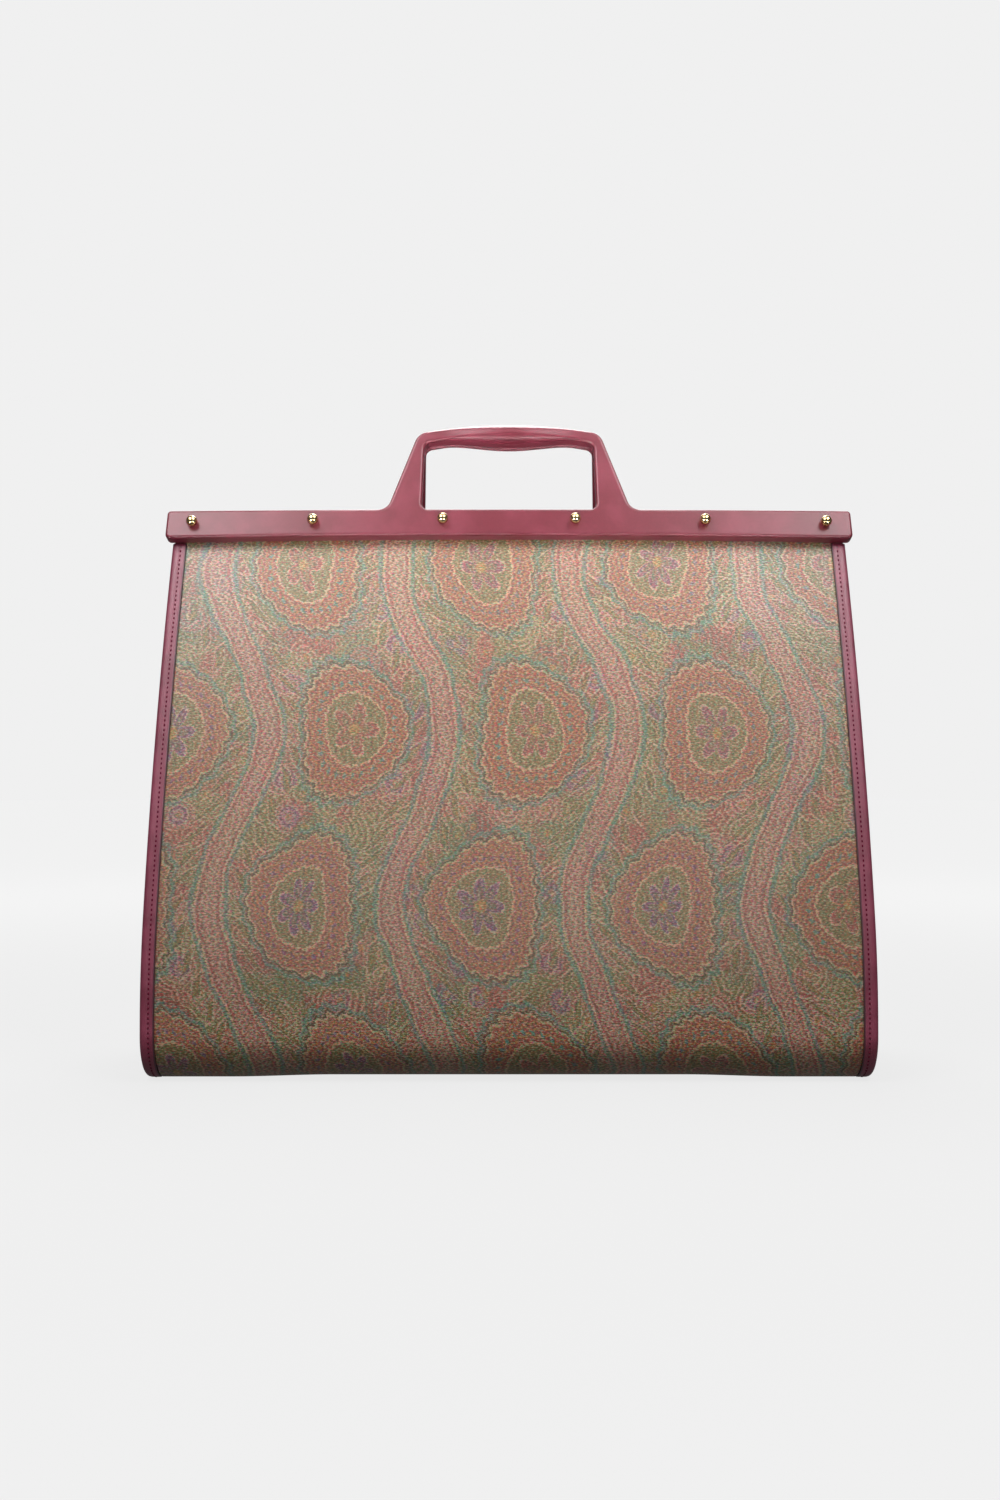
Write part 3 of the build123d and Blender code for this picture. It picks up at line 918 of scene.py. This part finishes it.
def add_canvas():
    """The one sheet of front, floor and back, closed as a thin shell."""
    widest = BASE_WIDTH / 2 - CLOTH_EDGE_INSET
    shares = [2 * column / (CANVAS_COLUMNS - 1) - 1 for column in range(CANVAS_COLUMNS)]
    for inset in (BINDING_WIDTH, BINDING_WIDTH + SAG_EDGE):
        share = 1 - (inset - CLOTH_EDGE_INSET) / widest
        shares += [-share, share]
    shares.sort()
    outer_points = []
    inner_points = []
    flat = []
    for row in range(CANVAS_ROWS):
        run = CANVAS_TOP * (2 * row / (CANVAS_ROWS - 1) - 1)
        reach = cloth_reach(run)
        for share in shares:
            across = share * reach
            out = slack(across, run)
            outer_points.append((across, *wall_point(run, out)))
            inner_points.append((across, *wall_point(run, out - CANVAS_THICKNESS)))
            flat.append((across, run, 0))
    net = grid_faces(CANVAS_ROWS, len(shares))
    points, faces, kinds = thick_sheet(net, outer_points, inner_points)
    piece = add_piece("canvas_body", points, faces, [CANVAS, BACKING], kinds, flat + flat)
    add_bake_map(piece, CANVAS_ROWS, len(shares))
    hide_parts("body_panel")

    # The flat cloth is cut to its width at each height
    row_height = 2 * CANVAS_TOP * MM / (CANVAS_ROWS - 1)
    cut_area = 0
    for row in range(CANVAS_ROWS - 1):
        run = CANVAS_TOP * ((2 * row + 1) / (CANVAS_ROWS - 1) - 1)
        cut_area += 2 * cloth_reach(run) * MM * row_height
    2 * CANVAS_TOP * MM


add_canvas()


# Gussets: side walls that fold inwards towards the mouth, with a flange that runs into the seam

GUSSET_ROWS = 97
GUSSET_COLUMNS = 65
FOLD_START_SHARE = 0.2  # of the bars' height, where the fold begins
FOLD_POWER = 1.75
FLANK_DEPTH_SHARE = 0.94
CREASE_DEPTH_SHARE = 1.18
FLANK_WIDTH_SHARE = 0.22

# Soft crumple of the side walls
CRUMPLE_REACH = 1.3
CRUMPLE_ACROSS = 1.6  # steps of the noise in half the bag's depth
CRUMPLE_RISE = 46.0  # height of a step of the noise
CRUMPLE_LAYER = 5  # place in the noise
CRUMPLE_START = (8.0, 60.0)  # heights over which it sets in
CRUMPLE_FULL = 0.25  # share of the way round times the rest of it, which the middle has


def fold_place(share):
    """Place on the fold's curve, from 0 at the front seam to 1 at the back one: in half depths of the bag
    from its middle, and in depths of the fold. The curve is a polynomial with five poles."""
    far = 1 - share
    across = share**4 - far**4 + 4 * FLANK_WIDTH_SHARE * (share**3 * far - far**3 * share)
    depth = 4 * FLANK_DEPTH_SHARE * (far**3 * share + share**3 * far)
    return across, depth + 6 * CREASE_DEPTH_SHARE * share**2 * far**2


def gusset_point(side, run, share, inset, back):
    """Point of the gusset's wall: as high as a run along the section, a share of the way round the fold,
    inset from the canvas's outer face, and back from the wall's outer face."""
    y, z = wall_point(run, -inset)
    across, depth = fold_place(share)
    rise = max(z / BAR_FOOT_HEIGHT - FOLD_START_SHARE, 0) / (1 - FOLD_START_SHARE)
    place = Vector((across * CRUMPLE_ACROSS, z / CRUMPLE_RISE, CRUMPLE_LAYER + side))
    free = blend_step(0, CRUMPLE_FULL, share * (1 - share)) * blend_step(*CRUMPLE_START, z)
    fold_in = FOLD_DEPTH * rise**FOLD_POWER * depth + CRUMPLE_REACH * noise.noise(place) * free
    return side * (half_width(z) - GUSSET_INSET - fold_in - back), across * abs(y), z


def add_gusset(side, name, node):
    """Side wall with its flange, closed as a thin shell."""
    wall_height = GUSSET_TOP - FLOOR_HALF_DEPTH
    runs = [FLOOR_HALF_DEPTH + wall_height * row / (GUSSET_ROWS - 1) for row in range(GUSSET_ROWS)]
    shares = [column / (GUSSET_COLUMNS - 1) for column in range(GUSSET_COLUMNS)]
    layers = []
    for inset, back in ((SEAM_DEPTH, 0), (FLANGE_INSET, GUSSET_THICKNESS)):
        layers.append([gusset_point(side, run, share, inset, back) for run in runs for share in shares])
    flat = [(fold_place(share)[0] * BASE_DEPTH / 2, run, 0) for run in runs for share in shares]
    net = grid_faces(GUSSET_ROWS, GUSSET_COLUMNS, flip=side < 0)

    # The flange goes on from the wall's foot and its two sides
    seam = [row * GUSSET_COLUMNS for row in range(GUSSET_ROWS - 1, 0, -1)]
    seam += list(range(GUSSET_COLUMNS))
    seam += [row * GUSSET_COLUMNS + GUSSET_COLUMNS - 1 for row in range(1, GUSSET_ROWS)]
    edge = len(layers[0])
    for layer in layers:
        layer += [(side * (half_width(layer[spot][2]) - CLOTH_EDGE_INSET), *layer[spot][1:]) for spot in seam]
    flat += [flat[spot] for spot in seam]
    for place in range(len(seam) - 1):
        quad = (seam[place], seam[place + 1], edge + place + 1, edge + place)
        net.append(quad[::-1] if side > 0 else quad)

    points, faces, kinds = thick_sheet(net, *layers)
    piece = add_piece(name, points, faces, [CANVAS, BACKING], kinds, flat + flat)
    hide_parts(node)
    flange = GUSSET_INSET - CLOTH_EDGE_INSET
    cut = (BASE_DEPTH + 2 * flange) * MM, (wall_height + flange) * MM


add_gusset(-1, "left_gusset_cloth", "left_gusset")
add_gusset(1, "right_gusset_cloth", "right_gusset")


# Bindings and their stitches

PATH_STEPS = 280
ROUND_STEPS = 14
EDGE_ROUND = 3.4  # width of the leather's rounded outer edge
EDGE_POWER = 0.85  # of the cosine that rounds it
CUT_ROUND = 0.5  # width of the rounded cut edges
CUT_BEVEL = 0.15
CUT_DROP = 0.45  # of the outer cut edge
INNER_CUT_DROP = 0.4
GROOVE_DEPTH = 0.12  # of the line of stitches

# Places beside the line of stitches, and out from the leather's face
GROOVE_PROFILE = (
    (1.2, 0.05),
    (0.65, -0.05),
    (0.3, -GROOVE_DEPTH),
    (-0.3, -GROOVE_DEPTH),
    (-0.65, -0.05),
    (-1.2, 0.02),
)


def binding_section():
    """Closed section of the folded leather: places in from the seam's outer edge and out from the canvas."""
    outer = LEATHER_THICKNESS + FIT_GAP
    inner = -(SEAM_DEPTH + FIT_GAP + LEATHER_THICKNESS)
    middle = (outer + inner) / 2
    half = (outer - inner) / 2
    section = [
        (BINDING_WIDTH, FIT_GAP),
        (BINDING_WIDTH, outer - CUT_DROP),
        (BINDING_WIDTH - CUT_BEVEL, outer - CUT_BEVEL),
        (BINDING_WIDTH - CUT_ROUND, outer),
    ]
    section += [(STITCH_INSET + beside, outer + rise) for beside, rise in GROOVE_PROFILE]
    for step in range(ROUND_STEPS + 1):
        angle = pi / 2 + pi * step / ROUND_STEPS
        reach = abs(cos(angle)) ** EDGE_POWER * EDGE_ROUND
        section.append((EDGE_ROUND - reach, middle + half * sin(angle)))
    section += [
        (BINDING_WIDTH - CUT_ROUND, inner),
        (BINDING_WIDTH, inner + INNER_CUT_DROP),
        (BINDING_WIDTH, inner + LEATHER_THICKNESS),
        (LEATHER_THICKNESS, inner + LEATHER_THICKNESS),
        (LEATHER_THICKNESS, FIT_GAP),
    ]
    return section


def seam_place(side, run, inset, out):
    """Point on the bag's seam: along the section's run, in from the outer edge and out from the canvas, and
    not below the ground."""
    y, z = wall_point(run, out)
    return side * (half_width(z) - inset), y, max(z, 0)


def add_binding(side, name, node):
    """Leather folded round a seam, from the front bar down under the floor and up to the back bar."""
    section = binding_section()
    points = []
    flat = []
    for step in range(PATH_STEPS + 1):
        run = BINDING_TOP * (1 - 2 * step / PATH_STEPS)
        for inset, out in section:
            points.append(seam_place(side, run, inset, out))
            flat.append((inset, run, out))
    faces = tube_faces(0, PATH_STEPS + 1, len(section), flip=side > 0)
    piece = add_piece(name, points, faces, [BINDING_LEATHER], flat=flat)
    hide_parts(node)


STITCH_SIDES = 6
STITCH_SHARES = (-1.0, -0.75, 0.0, 0.75, 1.0)  # of half a stitch, where its rings are
STITCH_POWER = 3  # of the bulge
STITCH_END = 0.02  # least share of the bulge, at the ends
STITCH_SINK = 0.12  # of its middle, below the groove's floor


def add_stitches(side, name):
    """One row of stitches along a binding, each a small bulging length of thread."""
    points = []
    faces = []
    count = int(2 * (BINDING_TOP - STITCH_PITCH) / STITCH_PITCH)
    level = LEATHER_THICKNESS + FIT_GAP - GROOVE_DEPTH - STITCH_SINK
    for stitch in range(count):
        middle = (stitch - (count - 1) / 2) * STITCH_PITCH
        faces += tube_faces(len(points), len(STITCH_SHARES), STITCH_SIDES, flip=side < 0)
        for share in STITCH_SHARES:
            radius = STITCH_RADIUS * sqrt(max(1 - abs(share) ** STITCH_POWER, STITCH_END))
            run = middle + share * STITCH_LENGTH / 2
            for corner in range(STITCH_SIDES):
                angle = 2 * pi * corner / STITCH_SIDES
                inset = STITCH_INSET + radius * cos(angle)
                points.append(seam_place(side, run, inset, level + radius * sin(angle)))
    add_piece(name, points, faces, [THREAD])


for side, name in ((-1, "left"), (1, "right")):
    add_binding(side, f"{name}_leather_binding", f"{name}_binding")
    add_stitches(side, f"{name}_stitches")


# Finishes of the solids that stay as they are

for node, material in (
    ("front_handle_frame", RESIN),
    ("back_handle_frame", RESIN),
    ("front_studs", BRASS),
    ("back_studs", BRASS),
    ("front_facing_strip", PLAIN_LEATHER),
    ("back_facing_strip", PLAIN_LEATHER),
    ("base_board", BOARD),
):
    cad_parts[node].data.materials.clear()
    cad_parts[node].data.materials.append(material)


# Studio, in metres

BACKGROUND = 0.871  # linear, a pale grey
FLOOR_ALBEDO = 0.045
FLOOR_GLOW = 0.78
FLOOR_FADE = (0.35, 1.3)  # from the bag, over which the floor takes the backdrop's grey
STUDIO_RADIUS = 5.0
STUDIO_CORNERS = 64
WHITE = (1, 1, 1, 1)
BLACK = (0, 0, 0, 1)


def add_stage():
    """Pale floor that takes a soft shadow, and a round backdrop of the same grey."""
    floor_shader = Shader("pale_floor")
    floor_shader.set(Base_Color=(FLOOR_ALBEDO, FLOOR_ALBEDO, FLOOR_ALBEDO, 1), Roughness=1.0,
                     Specular_IOR_Level=0.0, Emission_Color=WHITE)
    x, y, z = floor_shader.split(floor_shader.solid_place())
    away = (x * x + y * y).math("SQRT") * MM
    floor_shader.link(away.step(*FLOOR_FADE).between(FLOOR_GLOW, BACKGROUND), "Emission Strength")
    backdrop_shader = Shader("pale_backdrop")
    backdrop_shader.set(Base_Color=BLACK, Roughness=1.0, Specular_IOR_Level=0.0,
                        Emission_Color=WHITE, Emission_Strength=BACKGROUND)
    rim = []
    for corner in range(STUDIO_CORNERS):
        angle = 2 * pi * corner / STUDIO_CORNERS
        rim.append((STUDIO_RADIUS * cos(angle), STUDIO_RADIUS * sin(angle), 0))
    floor_mesh = bpy.data.meshes.new("floor")
    floor_mesh.from_pydata(rim, [], [tuple(range(STUDIO_CORNERS))])
    floor_mesh.materials.append(floor_shader.material)
    floor = bpy.data.objects.new("floor", floor_mesh)
    bpy.context.scene.collection.objects.link(floor)
    bpy.ops.mesh.primitive_uv_sphere_add(segments=STUDIO_CORNERS, ring_count=STUDIO_CORNERS // 2,
                                         radius=STUDIO_RADIUS)
    backdrop = bpy.context.object
    backdrop.name = "backdrop"
    backdrop.data.materials.append(backdrop_shader.material)
    backdrop.visible_shadow = False
    for part in (floor, backdrop):
        part.visible_diffuse = False
        part.visible_glossy = False


def add_softbox(name, place, aim, size, power, spread=180, gloss=True, diffuse=True):
    """Rectangular area light at a place, turned to its aim, with its power in watts and its spread in
    degrees; without gloss or without diffuse it adds nothing to that kind of light from surfaces."""
    data = bpy.data.lights.new(name, "AREA")
    data.shape = "RECTANGLE"
    data.size, data.size_y = size
    data.energy = power
    data.spread = radians(spread)
    light = bpy.data.objects.new(name, data)
    light.location = place
    light.rotation_euler = (Vector(aim) - Vector(place)).to_track_quat("-Z", "Y").to_euler()
    light.visible_camera = False
    light.visible_glossy = gloss
    light.visible_diffuse = diffuse
    bpy.context.scene.collection.objects.link(light)


def add_softbox_pair(name, place, **settings):
    """Two softboxes: one at a place on the left and one across from it on the right."""
    across, depth, height = place
    add_softbox(f"{name}_left", place, **settings)
    add_softbox(f"{name}_right", (-across, depth, height), **settings)


# Where the lights aim
BAG = (0, 0, 0.26)
BAG_LOW = (0, 0, 0.1)
BAG_BACK = (0, 0, 0.2)
BARS = (0, -0.03, 0.32)
GRIPS = (0, -0.02, 0.35)
WORLD_GLOW = 0.12


def add_lights():
    """High softboxes before the bag and a fill, lower ones that show in its bars and grips, a faint light
    under the grips, a strip over them and a softbox behind."""
    add_softbox_pair("key", (-0.5, -0.52, 1.05), aim=BAG, size=(0.7, 0.5), power=8.5)
    add_softbox("fill", (0, -1.3, 0.2), aim=BAG_LOW, size=(1.0, 0.3), power=2.3, gloss=False)
    add_softbox("sheen_left", (-0.42, -0.6, 0.74), aim=BARS, size=(0.4, 0.28), power=1.6)
    add_softbox("sheen_right", (0.5, -0.6, 0.74), aim=BARS, size=(0.4, 0.28), power=1.6)
    add_softbox_pair("low", (-0.24, -0.66, 0.02), aim=BARS, size=(0.2, 0.06), power=0.11, spread=50)
    add_softbox_pair("glint", (-0.36, -0.42, 0.02), aim=GRIPS, size=(0.14, 0.1), power=0.16, spread=36,
                     diffuse=False)
    add_softbox("under", (0, -0.36, 0.02), aim=GRIPS, size=(0.3, 0.04), power=0.13, spread=24, gloss=False)
    add_softbox("strip", (0, 0.22, 0.95), aim=BARS, size=(0.3, 0.4), power=7)
    add_softbox("behind", (0, 1.0, 0.9), aim=BAG_BACK, size=(1.2, 0.6), power=9)
    world = bpy.data.worlds.new("studio")
    world.use_nodes = True
    world.node_tree.nodes["Background"].inputs["Color"].default_value = WHITE
    world.node_tree.nodes["Background"].inputs["Strength"].default_value = WORLD_GLOW
    bpy.context.scene.world = world


# Camera: level, in front of the bag, as far away as the photograph's perspective tells
IMAGE_HEIGHT_PX = 1500
FOCAL_PX = 1604.6
SENSOR = 36.0  # millimetres
EYE_HEIGHT = 0.1775
EYE_DISTANCE = 0.85
OBJECT_RIGHT_PX = 9.0  # of the picture's middle


def add_camera():
    """Camera at the photograph's viewing angle."""
    data = bpy.data.cameras.new("camera")
    data.sensor_width = SENSOR
    data.lens = FOCAL_PX * SENSOR / IMAGE_HEIGHT_PX
    data.shift_x = -OBJECT_RIGHT_PX / IMAGE_HEIGHT_PX
    camera = bpy.data.objects.new("camera", data)
    front = canvas_box[0][1]
    camera.location = (0, front - EYE_DISTANCE, EYE_HEIGHT)
    camera.rotation_euler = (pi / 2, 0, 0)
    bpy.context.scene.collection.objects.link(camera)
    bpy.context.scene.camera = camera


add_stage()
add_lights()
add_camera()
bpy.context.scene.view_settings.view_transform = "Standard"
